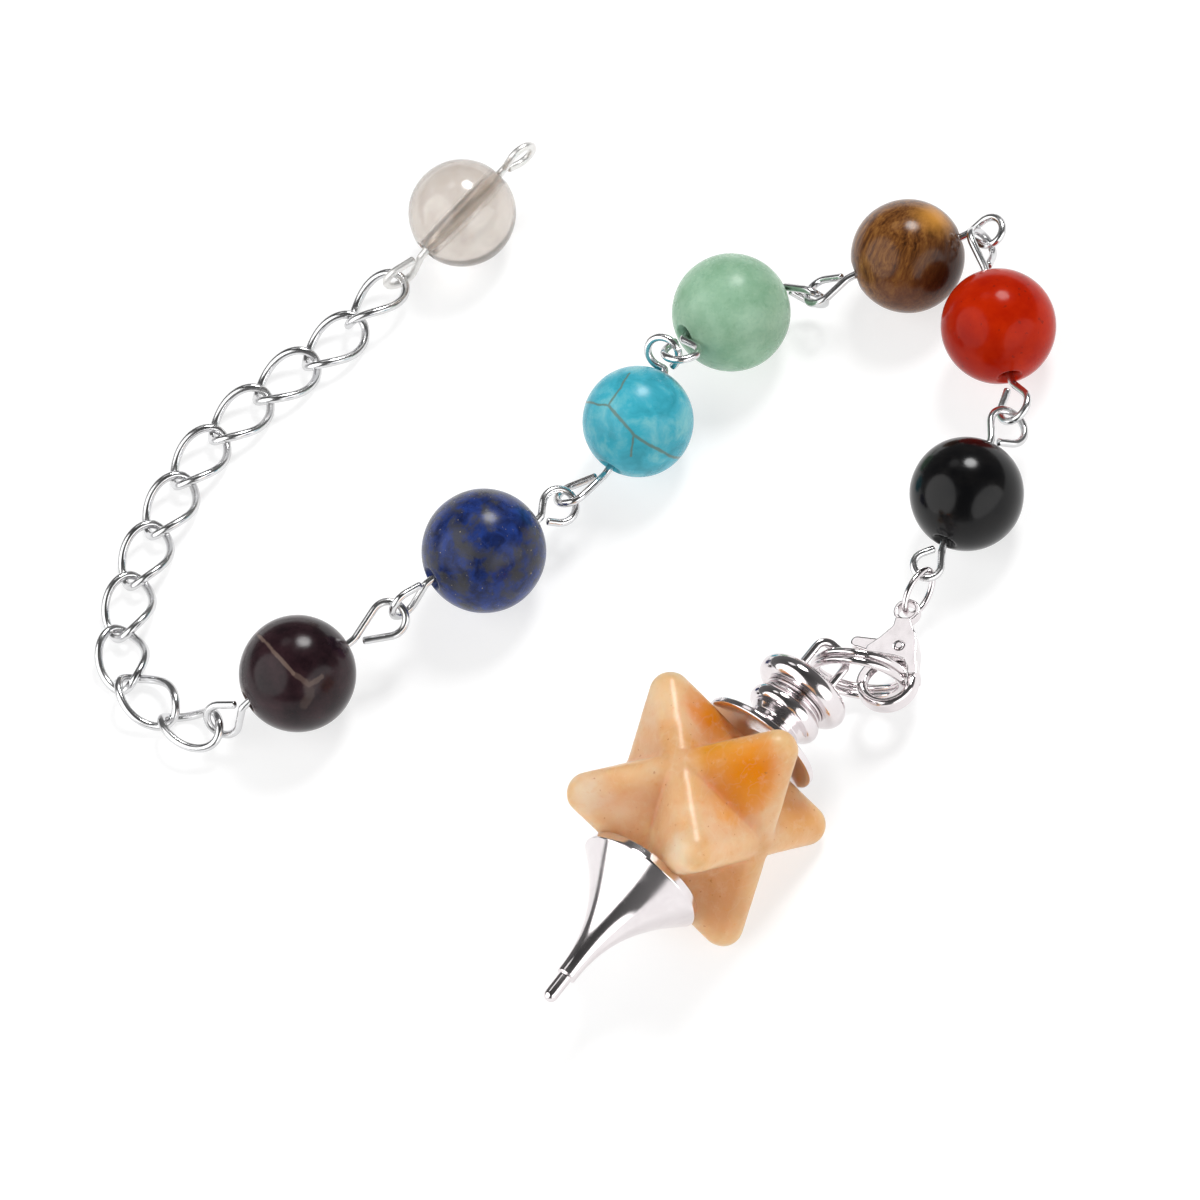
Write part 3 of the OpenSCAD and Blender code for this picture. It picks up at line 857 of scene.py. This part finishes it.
# Oval: long cos t, short sin t, turned and moved to its place
def ovalShape():
    s = ovalLink
    t = np.linspace(0, 2 * np.pi, 56, endpoint=False)
    flat = np.stack([s["long"] * np.cos(t), s["short"] * np.sin(t), 0 * t], 1)
    path = flat @ rotation(*s["turn"]).T + s["at"]
    return [closedWire(path, np.array(s["at"]), s["wire"])]


makePiece("ovalLink", ovalShape(), pendantMetal, ["clasp_link"])


# Beads on their wires

middle = np.array([1.05, 0.84, 0.0])    # moves the places below to the frame's middle

# heading and rise of each bead's hole; then each loop's round end: x, y, z, roll, radius
beadRows = {
    "black": {"hole": (47, 6),
              "ahead": (30.5, -0.9, 3.5, 34, 1.35), "behind": (21.9, -9.4, 3.45, -19, 0.95)},
    "red": {"hole": (82, 12),
            "ahead": (33.35, 13.55, 4.6, 60, 1.15), "behind": (31.4, 0.6, 3.4, 26, 1.2)},
    "tiger": {"hole": (-2, 0),
              "ahead": (34.15, 14.45, 4.5, 9, 1.05), "behind": (21.8, 15.65, 3.2, 17, 1.1)},
    "green": {"hole": (20, -17),
              "ahead": (21.05, 16.05, 2.45, 99, 1.1), "behind": (11.3, 12.85, 6.25, -9, 1.2)},
    "turquoise": {"hole": (38, 12),
                  "ahead": (10.1, 13.6, 5.85, -24, 1.15), "behind": (0.75, 7.0, 3.15, 27, 1.1)},
    "lapis": {"hole": (15, -8),
              "ahead": (-0.35, 6.25, 3.4, 35, 1.2), "behind": (-12.7, 2.3, 4.55, -95, 1.1)},
    "amethyst": {"hole": (11, 0),
                 "ahead": (-14.1, 1.75, 4.3, 32, 1.2), "behind": (-27.25, -0.1, 2.6, -57, 1.2)},
    "clear": {"hole": (24, 10),
              "ahead": (5.7, 34.35, 4.8, 102, 1.0), "behind": (-5.05, 30.55, 1.8, -102, 1.1)},
}
beadFacts = {
    "hole": 1.1, "sink": 0.4,    # across the hole, and how deep its countersink is
    "slope": 0.8,                # how far the countersink widens for its depth
    "uneven": (0.03, 5.0),       # height and length of the ball's waves
    "wire": 0.55,
    "wireOut": 0.3,              # where the wire starts to bend, past the ball and in the hole
    "legFrom": 0.3,              # where a loop's first leg starts, past the bend
    "loopStop": 0.45,            # where its second leg ends, at least
    "legApart": 0.31,            # half the way between the middles of the two legs there
}


# Direction of a hole: (cos rise cos heading, cos rise sin heading, sin rise)
def holeDirection(row):
    h, r = np.radians(row["hole"])
    return np.array([np.cos(r) * np.cos(h), np.cos(r) * np.sin(h), np.sin(r)])


# Middle and radius of a bead's solid
def beadPlace(name):
    low, high = (np.array(corner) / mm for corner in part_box("bead_" + name))
    return (low + high) / 2, (high - low).max() / 2


# Bead: the outline runs down the ball, in at the countersink and back through the hole
def beadShape(name, row):
    centre, r = beadPlace(name)
    hole = beadFacts["hole"] / 2
    mouth = hole + beadFacts["sink"] * beadFacts["slope"]
    a = math.degrees(math.asin(mouth / r))
    ball = arc((0, 0), r, 90 - a, a - 90, 90)
    deep = math.sqrt(r * r - mouth * mouth) - beadFacts["sink"]
    outline = np.concatenate([ball, [[hole, -deep], [hole, deep], ball[0]]])
    outline = evenPath(outline, 0.12, 0.05)
    outline[-1] = outline[0]
    points, faces = lathe(outline, 80)
    high, size = beadFacts["uneven"]
    points = points + unitOf(points) * (high * waves(points, size, len(name)))[..., None]
    axis = holeDirection(row)
    x = unitOf(np.cross([0, 0, 1.0], axis))
    y = np.cross(axis, x)
    return [(points @ np.array([x, y, axis]) + centre, faces)]


# Loop of a pin: straight from the hole, round the end, and straight back to where the two
# legs would touch
def loopPath(start, loop):
    ring = np.array(loop[:3]) - middle
    roll, radius = math.radians(loop[3]), loop[4]
    reach = np.linalg.norm(ring - start)
    u = (ring - start) / reach
    n0 = unitOf(np.array([0, 0, 1.0]) - u * u[2])
    n = n0 * math.cos(roll) + np.cross(u, n0) * math.sin(roll)
    v = np.cross(n, u)
    lean = math.asin(radius / reach)
    a = np.linspace(math.pi / 2 + lean, -math.pi / 2 - lean, 40)[:, None]
    end = ring + radius * (np.cos(a) * u + np.sin(a) * v)
    stop = max(beadFacts["loopStop"], beadFacts["legApart"] * reach / radius)
    return np.concatenate([[start + beadFacts["legFrom"] * unitOf(end[0] - start)], end,
                           [start + stop * unitOf(end[-1] - start)]])


# Pin: a loop, straight through the bead's hole, and the other loop
def pinShape(name, row):
    centre, r = beadPlace(name)
    axis = holeDirection(row)
    out = r + beadFacts["wireOut"]
    ahead = loopPath(centre + out * axis, row["ahead"])
    behind = loopPath(centre - out * axis, row["behind"])
    inner = r - beadFacts["wireOut"]
    path = np.concatenate([ahead[::-1], [centre + inner * axis, centre - inner * axis], behind])
    return [wire(evenPath(path, 0.09, 0.1, 0.08), beadFacts["wire"])]


# Place on a ball's seen side (or its far side), right and up of its middle in the picture
def onBall(r, right, up, side=1):
    return tuple(np.array([right, up, side * math.sqrt(max(r * r - right * right - up * up, 0))])
                 @ viewAxes())


# The colourings below take a tree, millimetres from the ball's middle, and the ball's radius

# Black agate: nearly even
def blackStone(tree, where, r):
    return ramped(tree, noise(tree, where, 0.8, 4),
                  [(0.4, (0.003, 0.003, 0.0035)), (0.7, (0.007, 0.0065, 0.0065))])


# Red jasper: even red, a painted shade over its lower left side, away from the key light, a few
# dark grains
def redStone(tree, where, r):
    colour = ramped(tree, noise(tree, where, 0.5, 5, 0.6),
                    [(0.35, (0.36, 0.010, 0.0008)), (0.65, (0.46, 0.02, 0.0015))])
    # Painted shade: the ball's lower left, turned away from the key light, is darkened in its
    # colour
    shade = spot(tree, where, onBall(r, -3.0, -2.4), 5.2)
    colour = tinted(tree, colour, (0.22, 0.006, 0.002), shade, 0.55)
    grains = eased(tree, noise(tree, where, 2.6, 2, 0.4), 0.69, 0.73)
    return tinted(tree, colour, (0.12, 0.01, 0.006), grains, 0.5)


# Tiger eye: silky streaks across the ball, a golden band over the top, a dark side and a
# reddish foot. Streaks are three parts broad and one part fine stretched noise
def tigerStone(tree, where, r):
    silkWay = Vector(np.array([0.3, 0.9, 0.1]) @ viewAxes())
    turn = Vector((1, 0, 0)).rotation_difference(silkWay).to_euler()
    turned = put(tree, "ShaderNodeMapping", vector_type="TEXTURE", Rotation=turn,
                 Vector=pushed(tree, where, 0.3, 1.4), Scale=(6.5, 0.65, 0.65)).outputs[0]
    silk = numberMath(tree, "MULTIPLY", noise(tree, turned, 1.0, 6, 0.65), 0.75)
    fine = numberMath(tree, "MULTIPLY", noise(tree, turned, 4.0, 4, 0.7), 0.25)
    colour = ramped(tree, numberMath(tree, "ADD", silk, fine),
                    [(0.32, (0.03, 0.010, 0.003)), (0.45, (0.11, 0.038, 0.009)),
                     (0.55, (0.19, 0.075, 0.018)), (0.70, (0.31, 0.14, 0.033))])
    gold = spot(tree, pushed(tree, where, 0.6, 1.2), onBall(r, 1.9, 2.7), 2.2, 0.1)
    colour = tinted(tree, colour, (0.6, 0.27, 0.045), gold, 0.8)
    loose = pushed(tree, where, 0.5, 1.5)
    dark = spot(tree, loose, onBall(r, 3.0, -0.9), 3.8, 0.2)
    colour = tinted(tree, colour, (0.035, 0.010, 0.004), dark, 0.85)
    red = spot(tree, loose, onBall(r, -0.2, -2.9), 3.4, 0.1)
    return tinted(tree, colour, (0.11, 0.03, 0.009), red, 0.65)


# Green aventurine: sage with fine pale and dark mottling
def greenStone(tree, where, r):
    colour = ramped(tree, noise(tree, where, 0.45, 5, 0.55),
                    [(0.35, (0.22, 0.40, 0.26)), (0.65, (0.33, 0.52, 0.37))])
    fine = noise(tree, where, 3.5, 5, 0.7)
    colour = tinted(tree, colour, (0.10, 0.2, 0.13), eased(tree, fine, 0.47, 0.3), 0.18)
    return tinted(tree, colour, (0.5, 0.62, 0.5), eased(tree, fine, 0.55, 0.72), 0.15)


# Matrix lines of the turquoise: how wide each is, and its places (right and up of the ball's
# middle in the picture, and -1 for the far side)
turquoiseLines = (
    (0.08, ((-3.6, 1.3), (-2.7, 1.15), (-2.03, 1.05), (-1.2, 2.3), (-0.6, 3.3))),
    (0.11, ((-2.03, 1.05), (-0.9, -0.2), (-0.3, -0.95), (1.45, -1.95), (2.9, -2.5))),
    (0.08, ((-0.3, -0.95), (-0.5, -2.4))),
    (0.11, ((2.9, -2.5), (3.0, -1.0, -1), (1.0, 0.8, -1), (-1.6, 0.4, -1), (-3.6, 1.2, -1))),
    (0.11, ((1.0, 0.8, -1), (0.4, 3.0, -1))),
)


# Turquoise: sky blue, paler and greener in clouds, crossed by brown matrix lines
def turquoiseStone(tree, where, r):
    cloud = noise(tree, where, 0.5, 6, 0.6, 0.4)
    colour = ramped(tree, cloud, [(0.33, (0.03, 0.29, 0.37)), (0.5, (0.05, 0.39, 0.5)),
                                  (0.68, (0.19, 0.52, 0.56))])
    lines = 0.0
    for width, places in turquoiseLines:
        mask = crack(tree, where, [onBall(r, *place) for place in places], width)
        lines = numberMath(tree, "MAXIMUM", lines, mask)
    return tinted(tree, colour, (0.13, 0.16, 0.11), lines, 0.75)


# Lapis: deep blue with grey-green calcite patches and tiny bright pyrite grains
def lapisStone(tree, where, r):
    colour = ramped(tree, noise(tree, where, 0.9, 6, 0.65, 0.5),
                    [(0.36, (0.006, 0.012, 0.055)), (0.62, (0.016, 0.042, 0.21))])
    patch = noise(tree, pushed(tree, where, 0.6, 1.2), 0.5, 6, 0.6)
    colour = tinted(tree, colour, (0.045, 0.044, 0.04), eased(tree, patch, 0.47, 0.6), 0.8)
    pale = eased(tree, noise(tree, where, 2.1, 5, 0.75), 0.6, 0.72)
    colour = tinted(tree, colour, (0.13, 0.14, 0.17), pale, 0.4)
    gold = eased(tree, noise(tree, where, 6.5, 1, 0.3), 0.78, 0.81)
    return mixed(tree, gold, colour, (0.5, 0.42, 0.27))


# Healed crack of the amethyst that fans out: places as above, width, depth
amethystCracks = (
    (((-2.9, 2.9), (-1.5, 1.4), (-0.25, 0.05)), 0.13, 0.75),
    (((-0.25, 0.05), (0.85, -0.75), (1.7, -0.2)), 0.16, 0.45),
    (((0.85, -0.75), (0.9, -1.4), (0.5, -2.1)), 0.35, 0.2),
)


# Amethyst: nearly black plum, with a healed crack and worn chips round the holes
def amethystStone(tree, where, r):
    colour = ramped(tree, noise(tree, where, 0.5, 5, 0.6),
                    [(0.35, (0.010, 0.004, 0.006)), (0.7, (0.036, 0.016, 0.02))])
    for places, width, depth in amethystCracks:
        line = crack(tree, where, [onBall(r, *place) for place in places], width, 0.3)
        colour = tinted(tree, colour, (0.16, 0.11, 0.09), line, depth)
    axis = holeDirection(beadRows["amethyst"])
    chips = eased(tree, noise(tree, where, 1.5, 5, 0.7), 0.45, 0.6)
    for side in (1, -1):
        worn = numberMath(tree, "MULTIPLY", spot(tree, where, side * r * axis, 1.5, 0.3), chips)
        colour = tinted(tree, colour, (0.25, 0.16, 0.12), worn, 0.7)
    return colour


# Clear quartz: slightly smoky, with faint milky veils
def clearStone(tree, where, r):
    return ramped(tree, noise(tree, pushed(tree, where, 0.4, 1.5), 0.5, 5, 0.6),
                  [(0.35, (0.66, 0.59, 0.53)), (0.65, (0.80, 0.74, 0.69))])


# Colouring of each bead, its polish, pits, and how clear or how deep-lit it is
beadLooks = {
    "black": {"colours": blackStone, "polish": 0.17, "pits": 0.04},
    "red": {"colours": redStone, "polish": 0.16, "pits": 0.05, "shine": 0.08},
    "tiger": {"colours": tigerStone, "polish": 0.2, "pits": 0.06},
    "green": {"colours": greenStone, "polish": 0.27, "pits": 0.12, "glow": 0.25},
    "turquoise": {"colours": turquoiseStone, "polish": 0.24, "pits": 0.1},
    "lapis": {"colours": lapisStone, "polish": 0.25, "pits": 0.12},
    "amethyst": {"colours": amethystStone, "polish": 0.19, "pits": 0.08},
    "clear": {"colours": clearStone, "polish": 0.14, "pits": 0.03, "glow": 0.6, "clear": 0.85,
              "shine": 0.4},
}


# Material of a bead: its colouring in millimetres from its own middle
def beadMaterial(name):
    centre, r = beadPlace(name)
    mat, tree, shader = stone(name + "Stone", beadLooks[name])
    filled(tree, shader, Base_Color=beadLooks[name]["colours"](tree, placed(tree, centre), r))
    return mat


for name, row in beadRows.items():
    makePiece(name + "Bead", beadShape(name, row), beadMaterial(name),
              ["bead_" + name])
    makePiece(name + "Wire", pinShape(name, row), dullWire if name == "clear" else silverWire,
              ["pin_" + name])
print("beads done")


# Curb chain

curb = {
    "length": 5.7, "width": 3.9, "wire": 0.6,
    "twist": 40,      # degrees at each end
    # how each link is turned about X, Y and Z
    "turns": ((21, 0, -154), (0, 0, -156), (0, 0, -159), (0, 0, -153.5), (0, 0, -143),
              (0, 0, -133.5), (0, 0, -127), (0, 0, -117.5), (0, 0, -99), (-1, 2, -63),
              (169, -15, -53)),
}


# Oval ring whose two ends are twisted opposite ways in proportion to their distance
def linkShape(node, turn):
    s = curb
    a, b = (s["length"] - s["wire"]) / 2, (s["width"] - s["wire"]) / 2
    t = np.linspace(0, 2 * np.pi, 64, endpoint=False)
    x = a * np.cos(t)
    twist = np.radians(s["twist"]) * x / a
    flat = np.stack([x, b * np.sin(t) * np.cos(twist), b * np.sin(t) * np.sin(twist)], 1)
    low, high = (np.array(corner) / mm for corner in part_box(node))
    centre = (low + high) / 2
    return [closedWire(flat @ rotation(*turn).T + centre, centre, s["wire"])]


for number, turn in enumerate(curb["turns"], 1):
    node = "chain_link_%02d" % number
    makePiece("chainLink%02d" % number, linkShape(node, turn), silverWire, [node])
print("chain done")


# Floor

# A light table: it glows a little by itself. Greys are of its faint grain
floorFacts = {"size": 3.0, "glow": 0.7, "greys": (0.35, 0.37), "rough": 0.9}


# Square floor through the origin
def makeFloor():
    half = floorFacts["size"] / 2
    mesh = bpy.data.meshes.new("floor")
    mesh.from_pydata([(-half, -half, 0), (half, -half, 0), (half, half, 0), (-half, half, 0)], [],
                     [(0, 1, 2, 3)])
    floor = bpy.data.objects.new("floor", mesh)
    bpy.context.collection.objects.link(floor)
    mat, tree, shader = blank("paleFloor")
    dark, pale = floorFacts["greys"]
    colour = ramped(tree, noise(tree, placed(tree), 0.05, 3), [(0.3, dark), (0.7, pale)])
    filled(tree, shader, Base_Color=colour, Roughness=floorFacts["rough"],
           Emission_Color=(1, 1, 1), Emission_Strength=floorFacts["glow"])
    mesh.materials.append(mat)


makeFloor()

print("scene done")
